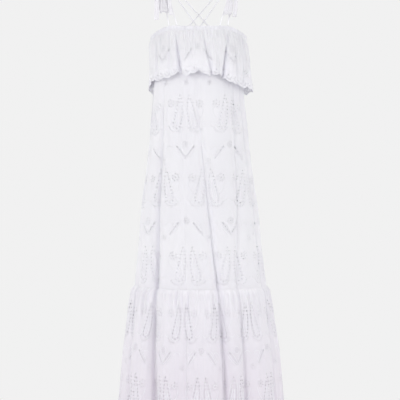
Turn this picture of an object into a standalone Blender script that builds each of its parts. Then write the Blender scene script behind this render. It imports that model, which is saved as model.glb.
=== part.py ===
"""A white cutwork maxi dress on thin crossed straps, hollow, as it hangs from a wearer's shoulders.

Every panel is cut flat, with its eyelets, and then draped: a point of the flat cloth is placed on a
ring round the figure at its own height. Metres, +Z up, the front faces -Y, and the origin lies between
the two shoulders, at the height where the straps rest on them. "Drop" is the distance below that
height, and "turn" is the angle round the dress: 0 at the centre front, 90 at the side seam at +X.
"""

import math

import bpy
import numpy as np
from mathutils import Vector
from mathutils.geometry import delaunay_2d_cdt

# Cloth and seams
WALL = 0.0012
SEAM_GAP = 0.0003
CASING_WALL = 0.0025
STRAP_RADIUS = 0.0022
STRAP_FOOT_GAP_FRONT = 0.0010
STRAP_FOOT_GAP_BACK = 0.0013
RIBBON_WALL = 0.0012

# The top edge's ring: half width, depth in front, depth behind, sideways
CASING_FORM = (0.1592, 0.1155, 0.1095, 0.0)
BODY_UNDER_CASING = (0.1580, 0.1143, 0.1083, 0.0)
EASE_HEIGHT = 0.035

# Heights, as drops below the shoulders
TOP_EDGE_DROP = 0.229
TOP_EDGE_TILT = 0.021
# The front straps pull the top edge up, at this turn to either side
STRAP_LIFT = 0.008
STRAP_LIFT_TURN = 38.0
STRAP_LIFT_SPAN = 19.0
CASING_HEIGHT = 0.013
RUFFLE_LENGTH = 0.152
SIDE_MARGIN = 0.012
TIER_SEAM_DROP = 1.055
HEM_DROP = 1.482

# Flat sizes of the cloth; the front and the back are cut alike. The body's panels are cut flared, as
# wide as the figure needs at each height. The tier and the ruffle are cut straight and gathered.
MOTIF_WIDTH = 0.152
TIER_CUT = 6 * MOTIF_WIDTH
RUFFLE_CUT = 4 * MOTIF_WIDTH

# Gathers in one panel, and the scallops of the ruffle's hem
RUFFLE_GATHERS = 40
TIER_GATHERS = 35
SCALLOPS = 21
SCALLOP_DEPTH = 0.005

# Cutwork over 4 mm: the drop at the top of each leaf of a V, and the middle of each rosette
LEAF_EYELET = (0.0032, 0.0065)
ROSETTE_EYELET = (0.0028, 0.0028)
LEAF_TILT = math.radians(38)
# Their places in a motif: to either side and above its middle, and the rosettes' heights from it
LEAF_PLACE = (0.0265, 0.0165)
ROSETTE_PLACES = (-0.026, 0.028)
# The cloth's own points stay this far from a hole's middle
CLEAR_OF_HOLE = (0.0075, 0.0100)

# Rows of leaves: drop of the row's middle, how far its motifs stand to +X, and which motif opens
# upwards as a V. The motifs beside it are the same pair of leaves turned to close at the top.
BODY_LEAF_ROWS = ((0.6175, -0.045, 0), (0.8625, -0.045, 1))
TIER_LEAF_ROW = (1.2705, 0.0, 1)
RUFFLE_LEAF_ROW = (0.305, -0.010, 1)

# drop, half width, depth in front, depth behind, sideways
BODY_FORM = (
    (0.200, 0.1570, 0.1140, 0.1080, 0.000),
    (0.260, 0.1535, 0.1170, 0.1050, 0.000),
    (0.330, 0.1495, 0.1205, 0.1030, 0.000),
    (0.390, 0.1500, 0.1225, 0.1040, 0.000),
    (0.436, 0.1530, 0.1250, 0.1070, 0.000),
    (0.503, 0.1600, 0.1300, 0.1130, 0.001),
    (0.603, 0.1690, 0.1380, 0.1230, 0.002),
    (0.704, 0.1820, 0.1480, 0.1350, 0.003),
    (0.804, 0.1960, 0.1570, 0.1450, 0.004),
    (0.905, 0.2050, 0.1660, 0.1550, 0.005),
    (1.005, 0.2150, 0.1740, 0.1650, 0.006),
    (1.055, 0.2215, 0.1780, 0.1700, 0.007),
)
TIER_FORM = (
    (1.055, 0.2215, 0.1780, 0.1700, 0.007),
    (1.067, 0.2280, 0.1850, 0.1770, 0.007),
    (1.090, 0.2330, 0.1890, 0.1810, 0.007),
    (1.173, 0.2460, 0.1960, 0.1890, 0.008),
    (1.273, 0.2610, 0.2030, 0.1970, 0.009),
    (1.374, 0.2700, 0.2090, 0.2030, 0.009),
    (1.482, 0.2790, 0.2150, 0.2090, 0.009),
)
# The ruffle's drop is measured from the casing's lower edge
RUFFLE_FORM = (
    (0.000, 0.1606, 0.1169, 0.1109, 0.000),
    (0.012, 0.1650, 0.1230, 0.1160, 0.000),
    (0.040, 0.1680, 0.1320, 0.1220, 0.002),
    (0.080, 0.1700, 0.1420, 0.1290, 0.004),
    (0.120, 0.1730, 0.1490, 0.1350, 0.006),
    (0.170, 0.1760, 0.1530, 0.1390, 0.008),
)

# Folds of the skirt: turn at the bust, tier seam and hem, depth there in mm, width in degrees
SKIRT_FOLDS = (
    (-80, -70, -60, 2, 6, 13, 6.0),
    (-48, -42, -34, 4, 21, 30, 5.0),
    (-21, -11, -10, 1, 3, 13, 4.5),
    (-1, 15.7, 18.5, 3, 19, 27, 4.2),
    (50, 33.5, 34, 4, 9, 26, 5.0),
    (68, 71, 67, 6, 10, 12, 6.5),
    (98, 97, 98, 3, 8, 16, 6.0),
    (126, 130, 133, 4, 16, 27, 5.0),
    (161, 160, 157, 3, 13, 23, 5.0),
    (-170, -170, -166, 2, 10, 21, 5.5),
    (-136, -138, -140, 4, 18, 28, 5.0),
    (-106, -104, -102, 3, 9, 15, 6.0),
)
FOLD_DROPS = (0.436, TIER_SEAM_DROP, HEM_DROP)

# Waves of the ruffle: turn at its top and hem, depth there in mm, width in degrees
RUFFLE_WAVES = (
    (-86, -80, 1, 8, 5.0),
    (-60, -55, 2, 8, 4.5),
    (-36, -35, 1, 5, 3.5),
    (-28, -22, 2, 16, 3.5),
    (4, 13, 1, 14, 3.5),
    (21, 20.5, 1, 4, 2.5),
    (37, 26, 3, 19, 3.5),
    (45, 44, 1, 6, 3.5),
    (62, 56, 2, 12, 4.0),
    (82, 78, 1, 8, 4.5),
    (103, 104, 1, 9, 4.5),
    (122, 125, 2, 13, 4.0),
    (143, 146, 1, 11, 4.0),
    (165, 163, 2, 15, 4.0),
    (-174, -172, 1, 11, 4.0),
    (-152, -150, 2, 14, 4.0),
    (-130, -131, 1, 12, 4.0),
    (-108, -106, 1, 9, 4.5),
)
# How far the ruffle's hem hangs below its level: turn, extra drop
RUFFLE_HANG = (
    (-180, 0.005),
    (-110, 0.018),
    (-90, 0.004),
    (-70, -0.006),
    (-50, 0.005),
    (-35, 0.008),
    (-25, -0.009),
    (-15, 0.002),
    (-2, -0.015),
    (8, 0.001),
    (20, -0.003),
    (35, 0.027),
    (50, 0.027),
    (70, 0.020),
    (85, 0.014),
    (110, 0.010),
    (180, 0.005),
)

# Straps, for the side at +X; the other side is the mirror of it
SHOULDER = Vector((0.132, 0.0, 0.010))
KNOT_SIZE = Vector((0.0085, 0.0095, 0.0100))
STRAP_AT_KNOT = (0.0090, -0.006)
FRONT_STRAP_X = (0.0715, 0.0965)
BACK_STRAP_X = (0.052, 0.104)
STRAP_SPREAD = 0.0031
CROSSING_DROP = 0.150
CROSSING_LIFT = 0.0056
CROSSING_SPAN = 0.060

# The back of the figure where the straps lie on it: drop, distance behind the shoulders
BACK_LINE = (
    (0.040, 0.054),
    (0.085, 0.076),
    (0.120, 0.088),
    (0.150, 0.096),
    (0.180, 0.102),
    (0.210, 0.1055),
)

# Bows: part, width at the knot, full width, the way its width runs, and its middle line from the
# shoulder in mm, as (outwards from the neck, forwards, up)
BOW_RIGHT = (
    ("loop_inner", 6.5, 25, "outwards", (
        (-4, 9.3, 14), (-5, 20, 16), (-10, 38, 3), (-19, 58, -48), (-28, 82, -110), (-36, 104, -163),
        (-36.5, 101, -169), (-36, 94, -164), (-27, 71, -108), (-16, 47, -45), (-7, 27, 3), (-4, 9.9, 9))),
    ("loop_outer", 6.0, 14, "outwards", (
        (4, 9.3, 14), (4, 20, 16), (1, 38, 3), (-4, 58, -48), (-9, 82, -110), (-14, 105, -170),
        (-14, 102, -176), (-14, 96, -170), (-9, 71, -108), (-4, 47, -45), (1, 27, 3), (4, 9.9, 9))),
    ("tail_side", 7.0, 18, "forwards", (
        (9.0, 0, 13), (19, 2, 14), (28, 6, -3), (32, 11, -45), (34, 16, -88))),
    ("tail_back", 7.0, 20, "outwards", (
        (0, -8.2, 16), (-1, -22, 18), (-3, -42, 4), (-6, -64, -36), (-9, -84, -82))),
)
BOW_LEFT = (
    ("loop_front", 7.0, 30, "outwards", (
        (0, 9.3, 14), (-1, 20, 16), (-5, 38, 3), (-10, 58, -48), (-16, 82, -108), (-21, 103, -156),
        (-21, 100, -162), (-21, 93, -157), (-16, 71, -106), (-10, 47, -45), (-4, 27, 3), (0, 9.9, 9))),
    ("loop_side", 6.0, 20, "forwards", (
        (9.0, 0, 14), (20, 2, 16), (31, 6, -4), (36, 11, -48), (37, 14, -84), (33, 14, -90),
        (28, 13, -84), (26, 9, -44), (20, 4, -2), (9.2, 0, 8))),
    ("tail_outer", 4.5, 16, "outwards", (
        (4.5, 7.4, 17), (5, 20, 22), (4, 44, 8), (3, 66, -48), (3, 91, -112), (3, 115, -188))),
    ("tail_inner", 4.5, 13, "outwards", (
        (-4.5, 7.4, 17), (-6, 20, 22), (-16, 44, 8), (-26, 66, -48), (-36, 90, -110), (-43, 111, -172))),
)

# The fineness of a drape
RING_STEP = 0.5
LEVELS = 160


def clear_scene():
    for thing in list(bpy.data.objects):
        bpy.data.objects.remove(thing)


def material(name, colour, roughness):
    made = bpy.data.materials.new(name)
    made.use_nodes = True
    shader = made.node_tree.nodes["Principled BSDF"]
    shader.inputs["Base Color"].default_value = (*colour, 1.0)
    shader.inputs["Roughness"].default_value = roughness
    shader.inputs["Metallic"].default_value = 0.0
    return made


def smooth_read(x, table, column):
    """A table's column read between its rows on a smooth curve."""
    xs = np.array([row[0] for row in table], float)
    ys = np.array([row[column] for row in table], float)
    slopes = np.gradient(ys, xs)
    x = np.clip(x, xs[0], xs[-1])
    i = np.clip(np.searchsorted(xs, x) - 1, 0, len(xs) - 2)
    span = xs[i + 1] - xs[i]
    t = (x - xs[i]) / span
    rise = ys[i + 1] - ys[i]
    a = slopes[i] * span - rise
    b = rise - slopes[i + 1] * span
    return ys[i] + t * rise + t * (1 - t) * (a * (1 - t) + b * t)


def turned(turn, centre):
    return (turn - centre + 180.0) % 360.0 - 180.0


def oval(turn, half_width, front, back, sideways, out):
    """A point on an oval ring, moved outwards along the ring's normal."""
    angle = np.radians(turn)
    sine, cosine = np.sin(angle), np.cos(angle)
    depth = np.where(cosine > 0, front, back)
    nx, ny = sine / half_width, -cosine / depth
    length = np.hypot(nx, ny)
    x = sideways + half_width * sine + out * nx / length
    y = -depth * cosine + out * ny / length
    return x, y


def valley(turn, centre, width):
    return np.exp(-np.abs(turned(turn, centre) / width) ** 1.5)


def top_edge_drop(turn):
    from_strap = (np.abs(turned(turn, 0)) - STRAP_LIFT_TURN) / STRAP_LIFT_SPAN
    return TOP_EDGE_DROP - TOP_EDGE_TILT * np.cos(np.radians(turn)) - STRAP_LIFT * np.exp(-from_strap**2)


def skirt_ring(turn, drop, form, pull=0.0):
    """x and y of the skirt's cloth at a turn and a drop, its long folds included."""
    depth = np.zeros_like(turn)
    for bust, seam, hem, d_bust, d_seam, d_hem, width in SKIRT_FOLDS:
        centre = np.interp(drop, FOLD_DROPS, (bust, seam, hem))
        deep = np.interp(drop, (0.30,) + FOLD_DROPS, (0, d_bust, d_seam, d_hem)) / 1000
        depth = depth + deep * valley(turn, centre, width)
    sizes = [smooth_read(drop, form, column) for column in (1, 2, 3, 4)]
    sizes = [size + pull * (top - size) for size, top in zip(sizes, BODY_UNDER_CASING)]
    return oval(turn, *sizes, -depth)


def body_point(turn, share):
    """The bodice and skirt, from just under the casing to the tier seam."""
    top = top_edge_drop(turn) + CASING_HEIGHT + SEAM_GAP
    drop = top + share * (TIER_SEAM_DROP - top)
    x, y = skirt_ring(turn, drop, BODY_FORM, np.maximum(0, 1 - (drop - top) / EASE_HEIGHT))
    return x, y, -drop


def tier_point(turn, share):
    """The gathered tier, from the seam to the hem."""
    top = TIER_SEAM_DROP + SEAM_GAP
    drop = top + share * (HEM_DROP - top) + np.zeros_like(turn)
    x, y = skirt_ring(turn, drop, TIER_FORM)
    return x, y, -drop


def ruffle_point(turn, share):
    """The ruffle that hangs from the casing, over the bodice."""
    hang = np.interp(turned(turn, 0), *zip(*RUFFLE_HANG))
    down = share * (RUFFLE_LENGTH + hang * share)
    depth = np.zeros_like(turn)
    for top, hem, d_top, d_hem, width in RUFFLE_WAVES:
        centre = top + (hem - top) * share
        deep = (d_top + (d_hem - d_top) * share) / 1000
        depth = depth + deep * np.minimum(1, share * 12) * valley(turn, centre, width)
    sizes = [smooth_read(down, RUFFLE_FORM, column) for column in (1, 2, 3, 4)]
    x, y = oval(turn, *sizes, -depth)
    return x, y, -(top_edge_drop(turn) + CASING_HEIGHT + SEAM_GAP + down)


def casing_point(turn, share):
    """The narrow elastic casing along the top edge."""
    x, y = oval(turn, *CASING_FORM, np.zeros_like(turn))
    return x, y, -(top_edge_drop(turn) + share * CASING_HEIGHT + np.zeros_like(turn))


class Drape:
    """Places points of a flat panel, across from its middle line and down from its top edge."""

    def __init__(self, point, length, middle, cut=None):
        self.length = length
        turns = middle + np.arange(-90.0, 90.0 + RING_STEP / 2, RING_STEP)
        shares = np.linspace(0, 1, LEVELS + 1)
        rings = [np.stack(point(turns, np.full_like(turns, s)), axis=1) for s in shares]
        self.rings = np.array(rings)
        steps = np.linalg.norm(np.diff(self.rings[:, :, :2], axis=1), axis=2)
        run = np.concatenate([np.zeros((len(shares), 1)), np.cumsum(steps, axis=1)], axis=1)
        self.across = run / run[:, -1:] - 0.5
        self.widths = np.full(len(shares), cut) if cut else run[:, -1]

    def width(self, v):
        """How wide the flat panel is at v: its cut, or for a flared panel the figure's own width."""
        return float(np.interp(v / self.length, np.linspace(0, 1, LEVELS + 1), self.widths))

    def ring(self, level, u, out):
        """Where the ring at a level has the cloth at u, and moved outwards by out."""
        at = np.clip(u / self.widths[level], -0.5, 0.5)
        ring, across = self.rings[level], self.across[level]
        place = np.array([np.interp(at, across, ring[:, axis]) for axis in range(3)])
        step = 1e-4
        ahead = [np.interp(at + step, across, ring[:, axis]) for axis in (0, 1)]
        behind = [np.interp(at - step, across, ring[:, axis]) for axis in (0, 1)]
        tangent = np.array(ahead) - np.array(behind)
        tangent = tangent / np.linalg.norm(tangent)
        place[0] += out * tangent[1]
        place[1] -= out * tangent[0]
        return place

    def __call__(self, u, v, out=0.0):
        height = min(max(v / self.length, 0.0), 1.0) * LEVELS
        level = min(int(height), LEVELS - 1)
        t = height - level
        return (1 - t) * self.ring(level, u, out) + t * self.ring(level + 1, u, out)


def eyelet(centre, size, tilt, corners):
    """The edge of a hole in the flat cloth, as corners on a tilted ellipse."""
    edge = []
    for k in range(corners):
        angle = 2 * math.pi * k / corners
        across, along = size[0] * math.sin(angle), size[1] * math.cos(angle)
        u = centre[0] + across * math.cos(tilt) + along * math.sin(tilt)
        v = centre[1] + across * math.sin(tilt) - along * math.cos(tilt)
        edge.append((u, v))
    return edge


def cutwork(drape, row, top):
    """The holes of one row of leaves and rosettes across a panel whose top edge is at that drop."""
    drop, shift, upright = row
    middle_v = drop - top
    reach = drape.width(middle_v) / 2 - SIDE_MARGIN
    most = math.ceil(reach / MOTIF_WIDTH) + 1
    holes = []
    for k in range(-most, most + 1):
        u = shift + k * MOTIF_WIDTH
        tilt = LEAF_TILT if (k + upright) % 2 == 0 else -LEAF_TILT
        for side in (-1, 1):
            leaf = (u + side * LEAF_PLACE[0], middle_v - LEAF_PLACE[1])
            holes.append((leaf, LEAF_EYELET, side * tilt, 6))
        holes.append(((u, middle_v + ROSETTE_PLACES[0]), ROSETTE_EYELET, 0, 4))
        holes.append(((u + MOTIF_WIDTH / 2, middle_v + ROSETTE_PLACES[1]), ROSETTE_EYELET, 0, 4))
    return [eyelet(*hole) for hole in holes if abs(hole[0][0]) < reach]


def flat_cloth(drape, rows, hem, holes):
    """Flat points and triangles of a panel: rows of (v, spaces across), a hem and holes."""
    points, groups = [], []
    centres = [np.mean(hole, axis=0) for hole in holes]
    rims = []
    for row, (v, spaces) in enumerate(rows):
        last = drape.width(v) / 2 - SEAM_GAP
        for k, u in enumerate(np.linspace(-last, last, spaces + 1)):
            at_edge = row in (0, len(rows) - 1) or k in (0, spaces)
            near = any(all(abs(p - q) < d for p, q, d in zip((u, v), c, CLEAR_OF_HOLE)) for c in centres)
            if near and not at_edge:
                continue
            if at_edge:
                rims.append((row, k, len(points)))
            points.append((u, v + (hem(u) if row == len(rows) - 1 else 0.0)))
            groups.append(-1)
    top = [n for row, k, n in rims if row == 0]
    bottom = [n for row, k, n in rims if row == len(rows) - 1]
    left = [n for row, k, n in rims if k == 0][1:-1]
    right = [n for row, k, n in rims if k and 0 < row < len(rows) - 1]
    loop = top + right + bottom[::-1] + left[::-1]
    edges = list(zip(loop, loop[1:] + loop[:1]))
    for number, hole in enumerate(holes):
        start = len(points)
        ends = range(start, start + len(hole))
        edges += [(n, start + (n + 1 - start) % len(hole)) for n in ends]
        points += hole
        groups += [number] * len(hole)
    flat = [Vector(p) for p in points]
    found = delaunay_2d_cdt(flat, edges, [], 1, 1e-7)
    corners, faces, origins = found[0], found[2], found[3]
    group = [groups[o[0]] if o else -1 for o in origins]
    kept = [f for f in faces if group[f[0]] < 0 or len({group[n] for n in f}) > 1]
    return corners, kept


def panel(name, drape, flat, gathers, plain_inside, wall, paint):
    """Drapes the flat cloth and gives it its wall, inwards, with a rim round every edge."""
    corners, faces = flat
    count = len(corners)
    outer = [drape(c.x, c.y, gathers(c.x, c.y)) for c in corners]
    inner = [drape(c.x, c.y, -wall + (0.0 if plain_inside else gathers(c.x, c.y))) for c in corners]
    sides = {(f[k], f[(k + 1) % 3]) for f in faces for k in range(3)}
    rims = [(b, a, a + count, b + count) for a, b in sorted(sides) if (b, a) not in sides]
    backs = [tuple(n + count for n in reversed(f)) for f in faces]
    mesh = bpy.data.meshes.new(name)
    places = [tuple(p) for p in outer + inner]
    mesh.from_pydata(places, [], [tuple(f) for f in faces] + backs + rims)
    middle = mesh.polygons[len(faces) // 2]
    if middle.normal.dot(Vector((middle.center.x, middle.center.y, 0))) < 0:
        mesh.flip_normals()
    mesh.materials.append(paint)
    mesh.shade_smooth()
    made = bpy.data.objects.new(name, mesh)
    bpy.context.scene.collection.objects.link(made)


def no_hem(u):
    return 0.0


def scalloped(u):
    """The ruffle's hem: round scallops that meet in small points."""
    phase = (u / RUFFLE_CUT + 0.5) * SCALLOPS
    return -SCALLOP_DEPTH * (1 - abs(math.sin(math.pi * phase)))


def gathered(u, cut, count):
    """One gather after another across a panel, flat at its two ends."""
    ends = min(1.0, (cut / 2 - abs(u)) * count / cut)
    return ends * math.cos(2 * math.pi * count * (u / cut + 0.5))


def ruffle_gathers(u, v):
    """Small gathers under the casing, which run out down the ruffle."""
    height = np.interp(v, (0.0, 0.012, 0.034), (0.0010, 0.0016, 0.0))
    return height * gathered(u, RUFFLE_CUT, RUFFLE_GATHERS)


def casing_gathers(u, v):
    return 0.0010 * gathered(u, RUFFLE_CUT, RUFFLE_GATHERS)


def tier_gathers(u, v):
    """Gathers along the tier seam, which run out over a hand's width."""
    height = np.interp(v, (0.0, 0.018, 0.045, 0.100), (0.0006, 0.0026, 0.0018, 0.0))
    return height * gathered(u, TIER_CUT, TIER_GATHERS)


def no_gathers(u, v):
    return 0.0


def panel_top(middle):
    """The drop of the body's and the ruffle's top edge at the middle of a panel."""
    return float(top_edge_drop(middle)) + CASING_HEIGHT + SEAM_GAP


def build_body(side, middle, paint):
    length = TIER_SEAM_DROP - panel_top(middle)
    drape = Drape(body_point, length, middle)
    holes = []
    for row in BODY_LEAF_ROWS:
        holes += cutwork(drape, row, panel_top(middle))
    rows = [(length * k / 9, 34) for k in range(10)]
    flat = flat_cloth(drape, rows, no_hem, holes)
    panel("body_" + side, drape, flat, no_gathers, False, WALL, paint)


def build_tier(side, middle, paint):
    length = HEM_DROP - TIER_SEAM_DROP - SEAM_GAP
    drape = Drape(tier_point, length, middle, TIER_CUT)
    holes = cutwork(drape, TIER_LEAF_ROW, TIER_SEAM_DROP)
    rows = [(v, 2 * TIER_GATHERS) for v in (0.0, 0.018, 0.045)]
    rows += [(0.100 + (length - 0.100) * k / 4, 42) for k in range(5)]
    flat = flat_cloth(drape, rows, no_hem, holes)
    panel("tier_" + side, drape, flat, tier_gathers, False, WALL, paint)


def build_ruffle(side, middle, paint):
    drape = Drape(ruffle_point, RUFFLE_LENGTH, middle, RUFFLE_CUT)
    holes = cutwork(drape, RUFFLE_LEAF_ROW, panel_top(middle))
    rows = [(v, 2 * RUFFLE_GATHERS) for v in (0.0, 0.012)]
    rows += [(v, 36) for v in (0.034, 0.078, 0.120)]
    rows += [(RUFFLE_LENGTH, 4 * SCALLOPS)]
    flat = flat_cloth(drape, rows, scalloped, holes)
    panel("ruffle_" + side, drape, flat, ruffle_gathers, False, WALL, paint)


def build_casing(side, middle, paint):
    drape = Drape(casing_point, CASING_HEIGHT, middle, RUFFLE_CUT)
    rows = [(v, 2 * RUFFLE_GATHERS) for v in (0.0, CASING_HEIGHT)]
    flat = flat_cloth(drape, rows, no_hem, [])
    panel("casing_" + side, drape, flat, casing_gathers, True, CASING_WALL, paint)


def smooth_path(points, count):
    """Points at even steps on a smooth curve through the given ones."""
    given = [Vector(p) for p in points]
    given = [2 * given[0] - given[1]] + given + [2 * given[-1] - given[-2]]
    fine = []
    for a, b, c, d in zip(given, given[1:], given[2:], given[3:]):
        for k in range(24):
            t = k / 24
            fine.append(
                0.5 * (2 * b + (c - a) * t + (2 * a - 5 * b + 4 * c - d) * t * t
                       + (3 * b - a - 3 * c + d) * t ** 3)
            )
    fine.append(given[-2])
    lengths = np.array([(q - p).length for p, q in zip(fine, fine[1:])])
    run = np.concatenate([[0], np.cumsum(lengths)])
    at = np.linspace(0, run[-1], count)
    axes = [np.interp(at, run, [p[axis] for p in fine]) for axis in range(3)]
    return [Vector(p) for p in zip(*axes)]


def strap(name, points, paint):
    """A round strap, as a curve with a bevel."""
    curve = bpy.data.curves.new(name, "CURVE")
    curve.dimensions = "3D"
    curve.bevel_depth = STRAP_RADIUS
    curve.bevel_resolution = 1
    curve.use_fill_caps = True
    spline = curve.splines.new("POLY")
    path = smooth_path(points, 13)
    spline.points.add(len(path) - 1)
    for point, place in zip(spline.points, path):
        point.co = (*place, 1.0)
    curve.materials.append(paint)
    made = bpy.data.objects.new(name, curve)
    bpy.context.scene.collection.objects.link(made)


def casing_top(x, front):
    """Where a strap stands on the casing, in the middle of its wall."""
    half_width = CASING_FORM[0] - CASING_WALL / 2
    depth = CASING_FORM[1 if front else 2] - CASING_WALL / 2
    share = math.sqrt(1 - (x / half_width) ** 2)
    y = -depth * share if front else depth * share
    turn = math.degrees(math.atan2(x / half_width, share if front else -share))
    drop = float(top_edge_drop(turn))
    gap = STRAP_FOOT_GAP_FRONT if front else STRAP_FOOT_GAP_BACK
    return Vector((x, y, -drop + gap))


def front_strap(name, side, x, spread, paint):
    foot = casing_top(x, True)
    knot = SHOULDER + Vector((spread, -STRAP_AT_KNOT[0], STRAP_AT_KNOT[1]))
    points = [
        foot,
        foot + Vector((0, 0, 0.008)),
        foot.lerp(knot, 0.35) + Vector((0, -0.004, 0.006)),
        foot.lerp(knot, 0.70) + Vector((0, -0.004, 0.010)),
        knot + Vector((0, -0.008, -0.0035)),
        knot,
    ]
    strap(name, [(side * p.x, p.y, p.z) for p in points], paint)


def back_strap(name, side, x, spread, lift, paint):
    """From the knot over the shoulder blade to the other side of the back."""
    foot = casing_top(-x, False)
    knot = SHOULDER + Vector((spread, STRAP_AT_KNOT[0], STRAP_AT_KNOT[1]))
    points = [knot, knot + Vector((0, 0.008, -0.0030))]
    for drop, y in BACK_LINE:
        share = (drop + knot.z) / (knot.z - foot.z)
        near = max(0.0, 1 - abs(drop - CROSSING_DROP) / CROSSING_SPAN)
        out = lift * min(1.0, 2 * near)
        points.append(Vector((knot.x + (foot.x - knot.x) * share, y + out, -drop)))
    points += [foot + Vector((0, 0, 0.008)), foot]
    strap(name, [(side * p.x, p.y, p.z) for p in points], paint)


def knot(name, side, paint):
    mesh = bpy.data.meshes.new(name)
    rings, sides = 7, 10
    places, faces = [(0, 0, 1)], []
    for k in range(1, rings):
        polar = math.pi * k / rings
        for j in range(sides):
            angle = 2 * math.pi * j / sides
            places.append(
                (math.sin(polar) * math.cos(angle), math.sin(polar) * math.sin(angle), math.cos(polar))
            )
    places.append((0, 0, -1))
    for j in range(sides):
        after = (j + 1) % sides
        faces.append((0, 1 + j, 1 + after))
        for k in range(rings - 2):
            low = 1 + k * sides
            faces.append((low + j, low + sides + j, low + sides + after, low + after))
        last = 1 + (rings - 2) * sides
        faces.append((len(places) - 1, last + after, last + j))
    scaled = [tuple(a * b for a, b in zip(p, KNOT_SIZE)) for p in places]
    mesh.from_pydata(scaled, [], faces)
    mesh.materials.append(paint)
    mesh.shade_smooth()
    made = bpy.data.objects.new(name, mesh)
    made.location = (side * SHOULDER.x, SHOULDER.y, SHOULDER.z)
    bpy.context.scene.collection.objects.link(made)


def ribbon(name, path, widths, across, paint):
    """A strip of cloth along a path, with its width in one direction and a wall."""
    places, faces = [], []
    for place, width in zip(path, widths):
        for k in (-0.5, 0.0, 0.5):
            places.append(tuple(place + across * (width * k)))
    for row in range(len(path) - 1):
        for k in (0, 1):
            n = 3 * row + k
            faces.append((n, n + 1, n + 4, n + 3))
    mesh = bpy.data.meshes.new(name)
    mesh.from_pydata(places, [], faces)
    mesh.materials.append(paint)
    mesh.shade_smooth()
    made = bpy.data.objects.new(name, mesh)
    bpy.context.scene.collection.objects.link(made)
    thick = made.modifiers.new("wall", "SOLIDIFY")
    thick.thickness = RIBBON_WALL
    thick.offset = 0.0


def build_bow(side, label, parts, paint):
    for part, at_knot, full, runs, line in parts:
        points = [(side * (SHOULDER.x + out / 1000), -ahead / 1000, up / 1000) for out, ahead, up in line]
        loop = part.startswith("loop")
        path = smooth_path(points, 15 if loop else 8)
        last = len(path) - 1
        widths = []
        for k in range(len(path)):
            share = min(k, last - k) * 2.2 / last if loop else k * 1.4 / last
            widths.append((at_knot + (full - at_knot) * min(1.0, share)) / 1000)
        across = Vector((1, 0, 0)) if runs == "outwards" else Vector((0, 1, 0))
        ribbon(f"bow_{label}_{part}", path, widths, across, paint)


def build():
    clear_scene()
    cloth = material("white_cutwork_cotton", (0.86, 0.86, 0.89), 0.85)
    trim = material("white_rouleau", (0.84, 0.84, 0.87), 0.80)
    for side, middle in (("front", 0.0), ("back", 180.0)):
        build_body(side, middle, cloth)
        build_tier(side, middle, cloth)
        build_ruffle(side, middle, cloth)
        build_casing(side, middle, cloth)
    for side, label in ((1, "right"), (-1, "left")):
        lift = CROSSING_LIFT if side > 0 else 0.0
        knot("bow_" + label + "_knot", side, trim)
        front_strap(f"strap_{label}_front_inner", side, FRONT_STRAP_X[0], -STRAP_SPREAD, trim)
        front_strap(f"strap_{label}_front_outer", side, FRONT_STRAP_X[1], STRAP_SPREAD, trim)
        back_strap(f"strap_{label}_back_inner", side, BACK_STRAP_X[1], -STRAP_SPREAD, lift, trim)
        back_strap(f"strap_{label}_back_outer", side, BACK_STRAP_X[0], STRAP_SPREAD, lift, trim)
    build_bow(1, "right", BOW_RIGHT, trim)
    build_bow(-1, "left", BOW_LEFT, trim)


build()
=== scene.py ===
"""The maxi dress's looks: fine cotton shells with stitched eyelets, embroidery, straps and bows.

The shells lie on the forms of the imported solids, so the tables that give those forms are the part's.
Metres, +Z up, the front faces -Y. "Drop" is the distance below the shoulders, and "turn" is the angle
round the dress: 0 at the centre front, 90 at +X. In the flat cloth, u runs across and v runs down.
"""

import math

import bpy
import numpy as np
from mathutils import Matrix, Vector
from mathutils.geometry import delaunay_2d_cdt


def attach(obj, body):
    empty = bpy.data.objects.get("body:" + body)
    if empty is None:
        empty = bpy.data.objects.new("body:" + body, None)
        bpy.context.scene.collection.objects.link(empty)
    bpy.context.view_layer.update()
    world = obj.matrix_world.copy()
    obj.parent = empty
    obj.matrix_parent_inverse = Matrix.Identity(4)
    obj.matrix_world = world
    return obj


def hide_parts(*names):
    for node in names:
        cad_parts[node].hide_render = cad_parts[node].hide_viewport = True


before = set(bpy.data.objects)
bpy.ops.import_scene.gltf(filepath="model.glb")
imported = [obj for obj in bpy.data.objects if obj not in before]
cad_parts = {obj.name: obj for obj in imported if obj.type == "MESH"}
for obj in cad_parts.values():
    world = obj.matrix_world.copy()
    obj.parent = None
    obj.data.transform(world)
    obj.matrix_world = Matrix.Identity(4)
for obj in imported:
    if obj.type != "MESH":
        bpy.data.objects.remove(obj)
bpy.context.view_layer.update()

# Camera: the photograph covers this height at the dress's mid-depth, from this distance
VIEW_HEIGHT = 1.34
VIEW_DISTANCE = 3.2
VIEW_CENTRE = (0.005, -0.7705)
SENSOR = 36.0

# Cloth and seams
CLOTH = 0.0006
SEAM_GAP = 0.0003
CASING_FORM = (0.1592, 0.1155, 0.1095, 0.0)
BODY_UNDER_CASING = (0.1580, 0.1143, 0.1083, 0.0)
EASE_HEIGHT = 0.035
TOP_EDGE_DROP = 0.229
TOP_EDGE_TILT = 0.021
STRAP_LIFT = 0.008
STRAP_LIFT_TURN = 38.0
STRAP_LIFT_SPAN = 19.0
CASING_HEIGHT = 0.013
RUFFLE_LENGTH = 0.152
TIER_SEAM_DROP = 1.055
HEM_DROP = 1.482
MOTIF_WIDTH = 0.152
TIER_CUT = 6 * MOTIF_WIDTH
RUFFLE_CUT = 4 * MOTIF_WIDTH
RUFFLE_GATHERS = 40
TIER_GATHERS = 35
SCALLOPS = 21
SCALLOP_DEPTH = 0.005
# How far a panel reaches under its neighbour at a seam
SEAM_LIP = 0.004
# The sharp crease in a fold, as shares of the fold's depth and width
CREASE_SHARE = 0.36
CREASE_WIDTH = 0.32
# At the bust the folds are shallow, and their creases are deeper than that share
BUST_CREASE = 2.2
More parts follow.
